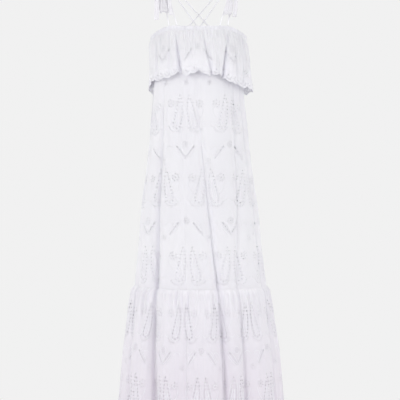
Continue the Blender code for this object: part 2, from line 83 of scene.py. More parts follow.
# The quick side of a crease, as a share of its slow side
QUICK_SIDE = 0.45
# Where the folds and their creases begin, as drops
FOLDS_START = 0.30
CREASES_START = 0.32
TIER_LENGTH = HEM_DROP - TIER_SEAM_DROP - SEAM_GAP
# Millimetres in a metre
MM = 1000

# drop, half width, depth in front, depth behind, sideways
BODY_FORM = (
    (0.200, 0.1570, 0.1140, 0.1080, 0.000),
    (0.260, 0.1535, 0.1170, 0.1050, 0.000),
    (0.330, 0.1495, 0.1205, 0.1030, 0.000),
    (0.390, 0.1500, 0.1225, 0.1040, 0.000),
    (0.436, 0.1530, 0.1250, 0.1070, 0.000),
    (0.503, 0.1600, 0.1300, 0.1130, 0.001),
    (0.603, 0.1690, 0.1380, 0.1230, 0.002),
    (0.704, 0.1820, 0.1480, 0.1350, 0.003),
    (0.804, 0.1960, 0.1570, 0.1450, 0.004),
    (0.905, 0.2050, 0.1660, 0.1550, 0.005),
    (1.005, 0.2150, 0.1740, 0.1650, 0.006),
    (1.055, 0.2215, 0.1780, 0.1700, 0.007),
)
TIER_FORM = (
    (1.055, 0.2215, 0.1780, 0.1700, 0.007),
    (1.067, 0.2280, 0.1850, 0.1770, 0.007),
    (1.090, 0.2330, 0.1890, 0.1810, 0.007),
    (1.173, 0.2460, 0.1960, 0.1890, 0.008),
    (1.273, 0.2610, 0.2030, 0.1970, 0.009),
    (1.374, 0.2700, 0.2090, 0.2030, 0.009),
    (1.482, 0.2790, 0.2150, 0.2090, 0.009),
)
# The ruffle's drop is measured from the casing's lower edge
RUFFLE_FORM = (
    (0.000, 0.1606, 0.1169, 0.1109, 0.000),
    (0.012, 0.1650, 0.1230, 0.1160, 0.000),
    (0.040, 0.1680, 0.1320, 0.1220, 0.002),
    (0.080, 0.1700, 0.1420, 0.1290, 0.004),
    (0.120, 0.1730, 0.1490, 0.1350, 0.006),
    (0.170, 0.1760, 0.1530, 0.1390, 0.008),
)

# Folds of the skirt: turn at the bust, tier seam and hem, depth there in mm, width in degrees
SKIRT_FOLDS = (
    (-80, -70, -60, 2, 6, 13, 6.0),
    (-48, -42, -34, 4, 21, 30, 5.0),
    (-21, -11, -10, 1, 3, 13, 4.5),
    (-1, 15.7, 18.5, 3, 19, 27, 4.2),
    (50, 33.5, 34, 4, 9, 26, 5.0),
    (68, 71, 67, 6, 10, 12, 6.5),
    (98, 97, 98, 3, 8, 16, 6.0),
    (126, 130, 133, 4, 16, 27, 5.0),
    (161, 160, 157, 3, 13, 23, 5.0),
    (-170, -170, -166, 2, 10, 21, 5.5),
    (-136, -138, -140, 4, 18, 28, 5.0),
    (-106, -104, -102, 3, 9, 15, 6.0),
)
FOLD_DROPS = (0.436, TIER_SEAM_DROP, HEM_DROP)

# Waves of the ruffle: turn at its top and hem, depth there in mm, width in degrees
RUFFLE_WAVES = (
    (-86, -80, 1, 8, 5.0),
    (-60, -55, 2, 8, 4.5),
    (-36, -35, 1, 5, 3.5),
    (-28, -22, 2, 16, 3.5),
    (4, 13, 1, 14, 3.5),
    (21, 20.5, 1, 4, 2.5),
    (37, 26, 3, 19, 3.5),
    (45, 44, 1, 6, 3.5),
    (62, 56, 2, 12, 4.0),
    (82, 78, 1, 8, 4.5),
    (103, 104, 1, 9, 4.5),
    (122, 125, 2, 13, 4.0),
    (143, 146, 1, 11, 4.0),
    (165, 163, 2, 15, 4.0),
    (-174, -172, 1, 11, 4.0),
    (-152, -150, 2, 14, 4.0),
    (-130, -131, 1, 12, 4.0),
    (-108, -106, 1, 9, 4.5),
)
# How far the ruffle's hem hangs below its level: turn, extra drop
RUFFLE_HANG = (
    (-180, 0.005), (-110, 0.018), (-90, 0.004), (-70, -0.006), (-50, 0.005), (-35, 0.008),
    (-25, -0.009), (-15, 0.002), (-2, -0.015), (8, 0.001), (20, -0.003), (35, 0.027),
    (50, 0.027), (70, 0.020), (85, 0.014), (110, 0.010), (180, 0.005),
)

# Heights of the gathers and small creases down a panel: flat places, then heights or shares of a height
RUFFLE_GATHERED = ((0.0, 0.012, 0.045, 0.120), (0.0013, 0.0020, 0.0011, 0.0002))
RUFFLE_FINE = ((0.0, 0.010, 0.050, 0.120), (0.0013, 0.0020, 0.0013, 0.0013))
RUFFLE_LONG_SHARE = ((0.0, 0.03, 0.15), (0.0, 0.6, 1.0))
RUFFLE_LONG = 0.0020
RUFFLE_TUCK = ((0.0, 0.0055), (-0.0011, 0.0))
WAVE_CREASE_SHARE = ((0.0, 0.08, 0.5, 1.0), (0.0, 0.45, 0.9, 1.0))
TIER_GATHERED = ((0.0, 0.018, 0.050, 0.120), (0.0004, 0.0034, 0.0024, 0.0))
TIER_FINE = ((0.0, 0.012, 0.070, 0.170), (0.0002, 0.0024, 0.0015, 0.0))
TIER_LONG_SHARE = ((0.0, 0.08, 0.40), (0.0, 1.0, 0.8))
TIER_LONG = 0.0034
TIER_SHORT_SHARE = ((0.0, 0.05, 0.40), (0.0, 1.0, 0.5))
TIER_SHORT = 0.0011
BODY_TOP = ((0.0, 0.06, 0.16, 0.30), (0.0003, 0.0012, 0.0008, 0.0))
BODY_SOFT_SHARE = ((0.0, 0.2, 0.78, 0.83), (0.0, 1.0, 1.0, 0.2))
BODY_SOFT = 0.0015
CASING_PUCKERS = (0.0012, 0.0019, 0.0008)
# How deep a lip lies under its neighbour
TIER_UNDER = 0.0016
CASING_UNDER = 0.0006

# Embroidery. Rows of leaves: drop, shift to +X, and which motif opens upwards as a V
BODY_LEAF_ROWS = ((0.6175, -0.045, 0), (0.8625, -0.045, 1))
TIER_LEAF_ROWS = ((1.2705, 0.0, 1),)
RUFFLE_LEAF_ROWS = ((0.305, -0.010, 1),)
# Rows of pairs of paisleys: drop of the tips, shift to +X
BODY_PAISLEY_ROWS = ((0.430, -0.045), (0.668, 0.025), (0.918, -0.040))
TIER_PAISLEY_ROWS = ((1.098, 0.076), (1.326, 0.0))
# Rosettes just under the ruffle: drop, shift to +X
BODY_ROSETTE_ROW = (0.392, -0.040)
LEAF_TILT = math.radians(38)
# The eyelets down a leaf: distance from the first, half width, half length, inside their stitched rims
LEAF_EYELETS = (
    (0.0, 0.0013, 0.0046),
    (0.0132, 0.0011, 0.0040),
    (0.0235, 0.0010, 0.0036),
    (0.0331, 0.0010, 0.0032),
    (0.0417, 0.0009, 0.0027),
)
CHAIN_PITCH = 0.0118
CHAIN_EYELET = (0.0015, 0.0020)
ROSETTE_EYELET = 0.0019
PETAL_EYELET = 0.0011
# The curl beside a paisley: place, radius and eyelets, its line, and its tail
CURL_PLACE = (0.0485, 0.030)
CURL_RADIUS = 0.0110
CURL_EYELET = 0.0015
CURL_CENTRE = 0.0018
CURL_LINE = 0.0058
CURL_TAIL = (0.0135, 0.020, 0.010, 0.045)
# The arc of eyelets under a paisley, and the stitched arc beside that
UNDER_PLACE = 0.033
UNDER_RADIUS = 0.0245
SMALL_EYELET = 0.0013
ARC_PLACE = (0.060, 0.094)
ARC_RADIUS = 0.011
# A leaf: its first eyelet, its bulge, and where its edges begin and how far they run
LEAF_PLACE = (0.0265, 0.0165)
LEAF_BULGE = 0.0056
LEAF_EDGE = (0.009, 0.056)
LEAF_OUTER = (0.0128, 0.005, 0.002, 0.044)
LEAF_ROSETTE = 0.026
LEAF_ROSETTE_RING = 0.0112
BETWEEN_ROSETTE = 0.028
BETWEEN_ARC = (0.020, 0.008, 0.012)
# The ruffle's border: heights over its level hem, radius, eyelets, and the waved line's height
BORDER_RISE = 0.0165
BORDER_RADIUS = 0.0098
BORDER_EYELET = 0.0017
BORDER_CENTRE = 0.0023
BORDER_WAVE = (0.008, 0.0135, 0.002)
SCALLOP_EDGE = 0.0022
# The tier's chains have larger eyelets
TIER_EYELET_SIZE = 1.4
RIM_STEPS = ((0.0, 0.00020), (0.00065, 0.00048), (0.00125, 0.0))
PAISLEY_LENGTH = 0.098
PAISLEY_WIDTH = 0.0128
PAISLEY_TIP = 0.0155
PAISLEY_SWING = 0.0125
# How near eyelets and threads come to a panel's edges, and eyelets' rims to each other
EDGE_MARGIN = 0.009
THREAD_MARGIN = 0.004
HEM_MARGIN = 0.0008
RIM_OVERLAP = 0.0004
RIM_ROOM = 0.0011
THREAD_HEIGHT = 0.0005
# Widths of the satin-stitched lines
BROAD_STITCH = 0.0028
SCALLOP_STITCH = 0.0024
SPINE_STITCH = 0.0022
EDGE_STITCH = 0.0017
ARC_STITCH = 0.0016
FINE_STITCH = 0.0013
RIM_ROW = 0.0006

# Colours
CLOTH_COLOUR = (0.892, 0.882, 0.956)
CLOTH_LOW_COLOUR = (0.745, 0.695, 0.768)
THREAD_COLOUR = (0.885, 0.875, 0.935)
STRAP_COLOUR = (0.905, 0.900, 0.930)
# The bows and knots are the dress's white cotton, painted darker as painted shade for their crinkles and
# layered loops
BOW_SHADED_COLOUR = (0.800, 0.785, 0.835)
WHITE = (1.0, 1.0, 1.0, 1)
# The cloth goes from its low colour to its own between these heights
LOW_TONE_Z = (-1.45, -0.95)
# How much darker the thread is painted between its stitches: painted shade in the grooves
STITCH_GROOVE_SHADE = 0.93
COTTON = {
    "Sheen Weight": 0.25,
    "Sheen Roughness": 0.5,
    "Specular IOR Level": 0.25,
    "Subsurface Weight": 0.75,
    "Subsurface Radius": (1.0, 1.0, 1.0),
    "Subsurface Scale": 0.002,
}
SATIN = {"Roughness": 0.48, "Sheen Weight": 0.35}
PAPER = {
    "Base Color": (0.0, 0.0, 0.0, 1),
    "Emission Color": WHITE,
    "Emission Strength": 0.879,
    "Roughness": 1.0,
    "Specular IOR Level": 0.0,
}

# Studio: the paper's sizes, and the lights' places, sizes and powers
FLOOR_GAP = 0.12
BACKDROP_Y = 6.5
BACKDROP_HALF = 9.0
BACKDROP_TALL = 7.0
BEND = 1.0
BEND_STEPS = 16
WORLD_STRENGTH = 0.80
LIGHTS = (("key", (-2.5, -2.6, 0.1), 1.5, 32.0), ("fill", (2.4, -2.6, -0.4), 2.6, 30.0))
LIGHT_AIM = Vector((0, 0, -0.75))

# Straps and bows, as in the part
SHOULDER = Vector((0.132, 0.0, 0.010))
KNOT_SIZE = Vector((0.0085, 0.0095, 0.0100))
STRAP_AT_KNOT = (0.0090, -0.006)
STRAP_RADIUS = 0.0022
CASING_WALL = 0.0025
FRONT_STRAP_X = (0.0715, 0.0965)
BACK_STRAP_X = (0.052, 0.104)
STRAP_SPREAD = 0.0031
STRAP_FOOT_GAP_FRONT = 0.0010
STRAP_FOOT_GAP_BACK = 0.0013
CROSSING_DROP = 0.150
CROSSING_LIFT = 0.0056
CROSSING_SPAN = 0.060
BACK_LINE = (
    (0.040, 0.054), (0.085, 0.076), (0.120, 0.088), (0.150, 0.096), (0.180, 0.102), (0.210, 0.1055),
)
BOW_RIGHT = (
    ("loop_inner", 6.5, 25, "outwards", (
        (-4, 9.3, 14), (-5, 20, 16), (-10, 38, 3), (-19, 58, -48), (-28, 82, -110), (-36, 104, -163),
        (-36.5, 101, -169), (-36, 94, -164), (-27, 71, -108), (-16, 47, -45), (-7, 27, 3), (-4, 9.9, 9))),
    ("loop_outer", 6.0, 14, "outwards", (
        (4, 9.3, 14), (4, 20, 16), (1, 38, 3), (-4, 58, -48), (-9, 82, -110), (-14, 105, -170),
        (-14, 102, -176), (-14, 96, -170), (-9, 71, -108), (-4, 47, -45), (1, 27, 3), (4, 9.9, 9))),
    ("tail_side", 7.0, 18, "forwards", (
        (9.0, 0, 13), (19, 2, 14), (28, 6, -3), (32, 11, -45), (34, 16, -88))),
    ("tail_back", 7.0, 20, "outwards", (
        (0, -8.2, 16), (-1, -22, 18), (-3, -42, 4), (-6, -64, -36), (-9, -84, -82))),
)
BOW_LEFT = (
    ("loop_front", 7.0, 30, "outwards", (
        (0, 9.3, 14), (-1, 20, 16), (-5, 38, 3), (-10, 58, -48), (-16, 82, -108), (-21, 103, -156),
        (-21, 100, -162), (-21, 93, -157), (-16, 71, -106), (-10, 47, -45), (-4, 27, 3), (0, 9.9, 9))),
    ("loop_side", 6.0, 20, "forwards", (
        (9.0, 0, 14), (20, 2, 16), (31, 6, -4), (36, 11, -48), (37, 14, -84), (33, 14, -90),
        (28, 13, -84), (26, 9, -44), (20, 4, -2), (9.2, 0, 8))),
    ("tail_outer", 4.5, 16, "outwards", (
        (4.5, 7.4, 17), (5, 20, 22), (4, 44, 8), (3, 66, -48), (3, 91, -112), (3, 115, -188))),
    ("tail_inner", 4.5, 13, "outwards", (
        (-4.5, 7.4, 17), (-6, 20, 22), (-16, 44, 8), (-26, 66, -48), (-36, 90, -110), (-43, 111, -172))),
)

# The bands of a panel's mesh: first and last place down the cloth, step down, step across
TIER_BANDS = (
    (-SEAM_LIP, -0.0009, 0.0031, 0.0032),
    (-0.0009, -SEAM_GAP, 0.0006, 0.0032),
    (-SEAM_GAP, 0.0, 0.0003, 0.0032),
    (0.0, 0.06, 0.006, 0.0032),
    (0.06, 0.14, 0.008, 0.0046),
    (0.14, TIER_LENGTH, 0.0085, 0.0046),
)
SCALLOPS_TOP = RUFFLE_LENGTH - SCALLOP_DEPTH - 0.0016
RUFFLE_BANDS = (
    (-SEAM_GAP, 0.004, 0.0014, 0.0026),
    (0.004, 0.03, 0.004, 0.0026),
    (0.03, SCALLOPS_TOP, 0.005, 0.0028),
    (SCALLOPS_TOP, RUFFLE_LENGTH, 0.0066, 0.0028),
)
CASING_BANDS = (
    (0.0, CASING_HEIGHT, 0.0026, 0.0019),
    (CASING_HEIGHT, CASING_HEIGHT + SEAM_LIP, 0.0013, 0.0019),
)

# Rings of a panel's form: degrees between points, levels, degrees to each side, and the step of a tangent
RING_STEP = 0.25
LEVELS = 160
HALF_PANEL = 90.0
TANGENT_STEP = 3e-3
NOISE_VALUES = 512
NOISE_START = 100.0


def new_object(name, data):
    made = bpy.data.objects.new(name, data)
    bpy.context.scene.collection.objects.link(made)
    return made


def smooth_mesh(name, places, faces):
    mesh = bpy.data.meshes.new(name)
    mesh.from_pydata(places, [], faces)
    mesh.shade_smooth()
    return new_object(name, mesh)


def thicken(piece, offset):
    thick = piece.modifiers.new("cloth", "SOLIDIFY")
    thick.thickness = CLOTH
    thick.offset = offset
    return piece


def tube_faces(start, count, sides):
    """The faces of a closed tube whose rings of points begin at start."""
    faces = []
    for k in range(count - 1):
        for j in range(sides):
            a, b = start + k * sides + j, start + k * sides + (j + 1) % sides
            faces.append((a, b, b + sides, a + sides))
    faces.append(tuple(start + j for j in reversed(range(sides))))
    faces.append(tuple(start + (count - 1) * sides + j for j in range(sides)))
    return faces


def set_camera():
    data = bpy.data.cameras.new("photo_camera")
    data.sensor_width = SENSOR
    data.lens = SENSOR * VIEW_DISTANCE / VIEW_HEIGHT
    view = new_object("photo_camera", data)
    view.location = (VIEW_CENTRE[0], -VIEW_DISTANCE, VIEW_CENTRE[1])
    view.rotation_euler = (math.radians(90), 0, 0)
    bpy.context.scene.camera = view


# Smooth tables and rings


def smooth_read(x, table, column):
    xs = np.array([row[0] for row in table], float)
    ys = np.array([row[column] for row in table], float)
    slopes = np.gradient(ys, xs)
    x = np.clip(x, xs[0], xs[-1])
    i = np.clip(np.searchsorted(xs, x) - 1, 0, len(xs) - 2)
    span = xs[i + 1] - xs[i]
    t = (x - xs[i]) / span
    rise = ys[i + 1] - ys[i]
    a = slopes[i] * span - rise
    b = rise - slopes[i + 1] * span
    return ys[i] + t * rise + t * (1 - t) * (a * (1 - t) + b * t)


def turned(turn, centre):
    return (turn - centre + 180.0) % 360.0 - 180.0


def oval(turn, half_width, front, back, sideways, out):
    angle = np.radians(turn)
    sine, cosine = np.sin(angle), np.cos(angle)
    depth = np.where(cosine > 0, front, back)
    nx, ny = sine / half_width, -cosine / depth
    length = np.hypot(nx, ny)
    return sideways + half_width * sine + out * nx / length, -depth * cosine + out * ny / length


def valley(turn, centre, width):
    return np.exp(-np.abs(turned(turn, centre) / width) ** 1.5)


def top_edge_drop(turn):
    from_strap = (np.abs(turned(turn, 0)) - STRAP_LIFT_TURN) / STRAP_LIFT_SPAN
    return TOP_EDGE_DROP - TOP_EDGE_TILT * np.cos(np.radians(turn)) - STRAP_LIFT * np.exp(-from_strap**2)


def skirt_ring(turn, drop, form, pull=0.0):
    depth = np.zeros_like(turn)
    for bust, seam, hem, d_bust, d_seam, d_hem, width in SKIRT_FOLDS:
        centre = np.interp(drop, FOLD_DROPS, (bust, seam, hem))
        deep = np.interp(drop, (FOLDS_START,) + FOLD_DROPS, (0, d_bust, d_seam, d_hem)) / MM
        depth = depth + deep * valley(turn, centre, width)
    sizes = [smooth_read(drop, form, column) for column in (1, 2, 3, 4)]
    sizes = [size + pull * (top - size) for size, top in zip(sizes, BODY_UNDER_CASING)]
    return oval(turn, *sizes, -depth)


def body_point(turn, share):
    top = top_edge_drop(turn) + CASING_HEIGHT + SEAM_GAP
    drop = top + share * (TIER_SEAM_DROP - top)
    x, y = skirt_ring(turn, drop, BODY_FORM, np.maximum(0, 1 - (drop - top) / EASE_HEIGHT))
    return x, y, -drop


def tier_point(turn, share):
    top = TIER_SEAM_DROP + SEAM_GAP
    drop = top + share * (HEM_DROP - top) + np.zeros_like(turn)
    x, y = skirt_ring(turn, drop, TIER_FORM)
    return x, y, -drop


def ruffle_point(turn, share):
    hang = np.interp(turned(turn, 0), *zip(*RUFFLE_HANG))
    down = share * (RUFFLE_LENGTH + hang * share)
    depth = np.zeros_like(turn)
    for top, hem, d_top, d_hem, width in RUFFLE_WAVES:
        centre = top + (hem - top) * share
        deep = (d_top + (d_hem - d_top) * share) / MM
        depth = depth + deep * np.clip(share * 12, 0, 1) * valley(turn, centre, width)
    sizes = [smooth_read(down, RUFFLE_FORM, column) for column in (1, 2, 3, 4)]
    x, y = oval(turn, *sizes, -depth)
    return x, y, -(top_edge_drop(turn) + CASING_HEIGHT + SEAM_GAP + down)


def casing_point(turn, share):
    x, y = oval(turn, *CASING_FORM, np.zeros_like(turn))
    return x, y, -(top_edge_drop(turn) + share * CASING_HEIGHT + np.zeros_like(turn))


class Drape:
    """Places many points of a flat panel at once, with the small creases of its cloth."""

    def __init__(self, point, length, middle, creases, cut=None, above=0.0, below=0.0):
        self.length, self.creases = length, creases
        turns = middle + np.arange(-HALF_PANEL, HALF_PANEL + RING_STEP / 2, RING_STEP)
        self.levels = np.linspace(-above, length + below, LEVELS + 1)
        rings = []
        for v in self.levels:
            place = point(turns, np.full_like(turns, v / length))
            rings.append(np.stack([*place, turns], axis=1))
        self.rings = np.array(rings)
        steps = np.linalg.norm(np.diff(self.rings[:, :, :2], axis=1), axis=2)
        run = np.concatenate([np.zeros((LEVELS + 1, 1)), np.cumsum(steps, axis=1)], axis=1)
        self.across = run / run[:, -1:] - 0.5
        self.widths = np.full(LEVELS + 1, cut) if cut else run[:, -1]

    def width(self, v):
        return np.interp(v, self.levels, self.widths)

    def area(self):
        return float(np.mean(self.widths)) * self.length

    def ring(self, level, u, v, raised):
        at = np.clip(u / self.widths[level], -0.5, 0.5)
        ring, across = self.rings[level], self.across[level]
        place = np.stack([np.interp(at, across, ring[:, k]) for k in range(4)], axis=1)
        ahead = np.stack([np.interp(at + TANGENT_STEP, across, ring[:, k]) for k in (0, 1)], axis=1)
        behind = np.stack([np.interp(at - TANGENT_STEP, across, ring[:, k]) for k in (0, 1)], axis=1)
        tangent = ahead - behind
        tangent /= np.linalg.norm(tangent, axis=1, keepdims=True)
        out = raised + self.creases(u, v, place[:, 3], -place[:, 2])
        place[:, 0] += out * tangent[:, 1]
        place[:, 1] -= out * tangent[:, 0]
        return place[:, :3]

    def __call__(self, u, v, raised):
        height = (v - self.levels[0]) / (self.levels[1] - self.levels[0])
        low = np.clip(height.astype(int), 0, LEVELS - 1)
        t = np.clip(height - low, 0, 1)[:, None]
        places = np.zeros((len(u), 3))
        for level in np.unique(low):
            here = low == level
            a = self.ring(level, u[here], v[here], raised[here])
            b = self.ring(level + 1, u[here], v[here], raised[here])
            places[here] = a + t[here] * (b - a)
        return places


# Small creases and gathers, as heights over the form, from the flat place, the turn and the drop.
# The whole numbers given to noise are its seeds.


def noise(x, seed, period=1.0):
    """A smooth, seeded line of bumps between -1 and 1."""
    values = np.random.RandomState(seed).uniform(-1, 1, NOISE_VALUES)
    x = np.asarray(x) / period + NOISE_START
    low = np.floor(x).astype(int)
    t = x - low
    t = t * t * (3 - 2 * t)
    return values[low % NOISE_VALUES] * (1 - t) + values[(low + 1) % NOISE_VALUES] * t


def gathered(u, cut, count):
    ends = np.clip((cut / 2 - np.abs(u)) * count / cut, 0, 1)
    return ends * np.cos(2 * np.pi * count * (u / cut + 0.5))


def sharp(turn, centre, width):
    """A crease with a slow side and a quick side, which the light from the left picks out."""
    x = turned(turn, centre) / width
    return np.exp(-np.where(x < 0, x, x / QUICK_SIDE) ** 2)


def skirt_creases(turn, drop):
    """Each large fold of the skirt has a sharper crease along its bottom."""
    depth = np.zeros_like(turn)
    for bust, seam, hem, d_bust, d_seam, d_hem, width in SKIRT_FOLDS:
        centre = np.interp(drop, FOLD_DROPS, (bust, seam, hem))
        depths = (0, BUST_CREASE * d_bust, d_seam, d_hem)
        deep = np.interp(drop, (CREASES_START,) + FOLD_DROPS, depths) / MM
        depth = depth + CREASE_SHARE * deep * sharp(turn, centre, CREASE_WIDTH * width)
    return -depth


def ruffle_creases(u, v, turn, drop):
    height = np.interp(v, *RUFFLE_GATHERED)
    fine = np.interp(v, *RUFFLE_FINE)
    reach = 1 + 0.8 * noise(u, 11, 0.021)
    long = RUFFLE_LONG * np.interp(v, *RUFFLE_LONG_SHARE) * noise(u, 12, 0.019)
    share = v / RUFFLE_LENGTH
    folds = np.interp(v, *RUFFLE_TUCK)
    for top, hem, _, d_hem, width in RUFFLE_WAVES:
        deep = CREASE_SHARE * d_hem / MM * np.interp(share, *WAVE_CREASE_SHARE)
        folds = folds - deep * sharp(turn, top + (hem - top) * share, CREASE_WIDTH * width)
    return (
        height * gathered(u, RUFFLE_CUT, RUFFLE_GATHERS) * (1 + 0.4 * noise(u, 13, 0.03))
        + fine * reach * noise(u, 14, 0.0068)
        + long
        + folds
    )


def tier_creases(u, v, turn, drop):
    height = np.interp(v, *TIER_GATHERED)
    fine = np.interp(v, *TIER_FINE)
    reach = 1 + 0.9 * noise(u, 21, 0.045)
    long = TIER_LONG * np.interp(v, *TIER_LONG_SHARE) * noise(u + 0.05 * v, 22, 0.034)
    long = long + TIER_SHORT * np.interp(v, *TIER_SHORT_SHARE) * noise(u - 0.03 * v, 25, 0.012)
    cloth = (
        height * gathered(u, TIER_CUT, TIER_GATHERS) * (1 + 0.5 * noise(u, 23, 0.05))
        + fine * reach * noise(u, 24, 0.0075)
        + long
        + skirt_creases(turn, drop)
    )
    under = skirt_creases(turn, drop) - TIER_UNDER
    return np.where(v < -2 * SEAM_GAP, under, cloth)


def body_creases(u, v, turn, drop):
    top = np.interp(v, *BODY_TOP) * noise(u, 31, 0.011)
    soft = BODY_SOFT * np.interp(v, *BODY_SOFT_SHARE) * noise(u - 0.10 * v, 32, 0.048)
    return top + soft + skirt_creases(turn, drop)


def casing_creases(u, v, turn, drop):
    broad, narrow, rough = CASING_PUCKERS
    puckers = broad * gathered(u, RUFFLE_CUT, RUFFLE_GATHERS)
    puckers = puckers + narrow * gathered(u, RUFFLE_CUT, 2 * RUFFLE_GATHERS)
    return np.where(v < CASING_HEIGHT + 0.0002, puckers + rough * noise(u, 41, 0.004), -CASING_UNDER)


# The flat pattern: eyelets as (u, v, half width, half length, tilt) and threads as (points, width)


def along(points, pitch):
    """Points at about that pitch along a line."""
    points = np.array(points, float)
    steps = np.linalg.norm(np.diff(points, axis=0), axis=1)
    run = np.concatenate([[0], np.cumsum(steps)])
    count = max(2, int(round(run[-1] / pitch)))
    at = np.linspace(0, run[-1], count + 1)
    return np.stack([np.interp(at, run, points[:, 0]), np.interp(at, run, points[:, 1])], axis=1)


def paisley_side(side, t, offset):
    """A point beside a paisley's middle line, at t from its tip, on its left (-1) to right (1)."""
    middle_u = side * (PAISLEY_TIP + PAISLEY_SWING * t**2.2)
    middle_v = PAISLEY_LENGTH * t
    width = PAISLEY_WIDTH * np.sin(0.5 * np.pi * t) ** 0.8
    return middle_u + offset * width, middle_v


def paisley_outline(side, grow=0.0, start=0.04):
    """The closed outline of a paisley, grown outwards by a distance."""
    t = np.linspace(start, 1, 40)
    left = [(u - grow, v) for u, v in zip(*paisley_side(side, t, -1))]
    right = [(u + grow, v) for u, v in zip(*paisley_side(side, t, 1))]
    centre_u, centre_v = paisley_side(side, np.array(1.0), 0)
    radius = PAISLEY_WIDTH + grow
    angles = np.linspace(0, np.pi, 14)[1:-1]
    round_end = [(centre_u - radius * np.cos(a), centre_v + radius * np.sin(a)) for a in angles]
    return left + round_end + right[::-1]


def rosette(u, v, petals=8, reach=0.0078):
    eyelets = [(u, v, ROSETTE_EYELET, ROSETTE_EYELET, 0)]
    for k in range(petals):
        angle = 2 * np.pi * k / petals
        place = (u + reach * np.sin(angle), v + reach * np.cos(angle))
        eyelets.append((*place, PETAL_EYELET, PETAL_EYELET, 0))
    return eyelets


def circle(u, v, radius, first=0.0, last=2 * np.pi, count=20):
    angles = np.linspace(first, last, count)
    return [(u + radius * np.cos(a), v + radius * np.sin(a)) for a in angles]


def paisley_pair(u, v, size=1.0):
    eyelets, threads = [], []
    for side in (-1, 1):
        chain = along(paisley_outline(side), CHAIN_PITCH)
        ways = np.gradient(chain, axis=0)
        for (du, dv), (across, down) in zip(chain, ways):
            half_width, half_length = (size * half for half in CHAIN_EYELET)
            eyelets.append((u + du, v + dv, half_width, half_length, math.atan2(-across, down)))
        inner = [(u + du, v + dv) for du, dv in paisley_outline(side, -0.0058, 0.40)]
        threads.append((along(inner, 0.004), BROAD_STITCH))
        spine = [paisley_side(side, np.array(t), 0) for t in np.linspace(0.55, 0.98, 9)]
        threads.append(([(u + a, v + b) for a, b in spine], SPINE_STITCH))
        outer = [(u + du, v + dv) for du, dv in paisley_outline(side, 0.0052, 0.22)]
        threads.append((along(outer, 0.005), EDGE_STITCH))
        curl_u, curl_v = u + side * CURL_PLACE[0], v + CURL_PLACE[1]
        first, last = np.pi * (0.5 + 0.62 * side), np.pi * (0.5 - 1.0 * side)
        for a, b in circle(curl_u, curl_v, CURL_RADIUS, first, last, 7):
            eyelets.append((a, b, CURL_EYELET, CURL_EYELET, 0))
        eyelets.append((curl_u, curl_v, CURL_CENTRE, CURL_CENTRE, 0))
        threads.append((circle(curl_u, curl_v, CURL_LINE, 0.4, 5.2, 14), FINE_STITCH))
        out, back, down, run = CURL_TAIL
        tail = []
        for t in np.linspace(0, 1, 10):
            tail.append((curl_u + side * (out - back * t * t), curl_v + down + run * t))
        threads.append((tail, EDGE_STITCH))
        under_u, under_v = u + side * UNDER_PLACE, v + PAISLEY_LENGTH
        for a, b in circle(under_u, under_v, UNDER_RADIUS, 0.15 * np.pi, 0.85 * np.pi, 8):
            eyelets.append((a, b, SMALL_EYELET, SMALL_EYELET, 0))
        arc = circle(u + side * ARC_PLACE[0], v + ARC_PLACE[1], ARC_RADIUS, 0.1, 3.0, 9)
        threads.append((arc, EDGE_STITCH))
    return eyelets, threads


def leaf_pair(u, v, upright):
    """Two leaves of eyelets which meet at the bottom, or else at the top, and the rosettes between."""
    eyelets, threads = [], []
    tilt = LEAF_TILT if upright else -LEAF_TILT
    for side in (-1, 1):
        lean = side * tilt
        start = np.array((u + side * LEAF_PLACE[0], v - LEAF_PLACE[1]))
        down = np.array((-math.sin(lean), math.cos(lean)))
        across = np.array((math.cos(lean), math.sin(lean))) * side
        for distance, half_width, half_length in LEAF_EYELETS:
            eyelets.append((*(start + down * distance), half_width, half_length, lean))
        shares = np.linspace(0, 1, 11)
        bulge = LEAF_BULGE * np.sin(np.pi * (0.12 + 0.88 * shares)) ** 0.7
        first, run = LEAF_EDGE
        for edge in (-1, 1):
            line = [start + edge * across * w + down * (run * t - first) for t, w in zip(shares, bulge)]
            threads.append((line, EDGE_STITCH))
        out, back, first, run = LEAF_OUTER
        outer = [start + across * (out - back * t * t) + down * (run * t - first) for t in shares]
        threads.append((outer, ARC_STITCH))
    eyelets += rosette(u, v - LEAF_ROSETTE)
    eyelets += rosette(u + MOTIF_WIDTH / 2, v + BETWEEN_ROSETTE, 6)
    threads.append((circle(u, v - LEAF_ROSETTE, LEAF_ROSETTE_RING, count=24), FINE_STITCH))
    aside, rise, radius = BETWEEN_ARC
    for side in (-1, 1):
        arc = circle(u + MOTIF_WIDTH / 2 + side * aside, v - rise, radius, np.pi, 2 * np.pi, 10)
        threads.append((arc, ARC_STITCH))
    return eyelets, threads


def ruffle_border():
    """The scalloped border of the ruffle: rows of small eyelets that follow each scallop."""
    eyelets, threads = [], []
    pitch = RUFFLE_CUT / SCALLOPS
    low = RUFFLE_LENGTH - BORDER_RISE
    for k in range(SCALLOPS):
        centre = (k + 0.5 - SCALLOPS / 2) * pitch
        for a, b in circle(centre, low, BORDER_RADIUS, 0.12 * np.pi, 0.88 * np.pi, 5):
            eyelets.append((a, b, BORDER_EYELET, BORDER_EYELET, 0))
        eyelets.append((centre, low - 0.001, BORDER_CENTRE, BORDER_CENTRE, 0))
        line = []
        for t in np.linspace(0.02, 0.98, 9):
            edge = RUFFLE_LENGTH - SCALLOP_EDGE - SCALLOP_DEPTH * (1 - math.sin(math.pi * t))
            line.append((centre + (t - 0.5) * pitch, edge))
        threads.append((line, SCALLOP_STITCH))
    margin, rise, swing = BORDER_WAVE
    reach = RUFFLE_CUT / 2 - margin
    wave = []
    for a in np.linspace(-reach, reach, 160):
        wave.append((a, low - rise + swing * math.sin(2 * math.pi * a / pitch)))
    threads.append((wave, ARC_STITCH))
    return eyelets, threads


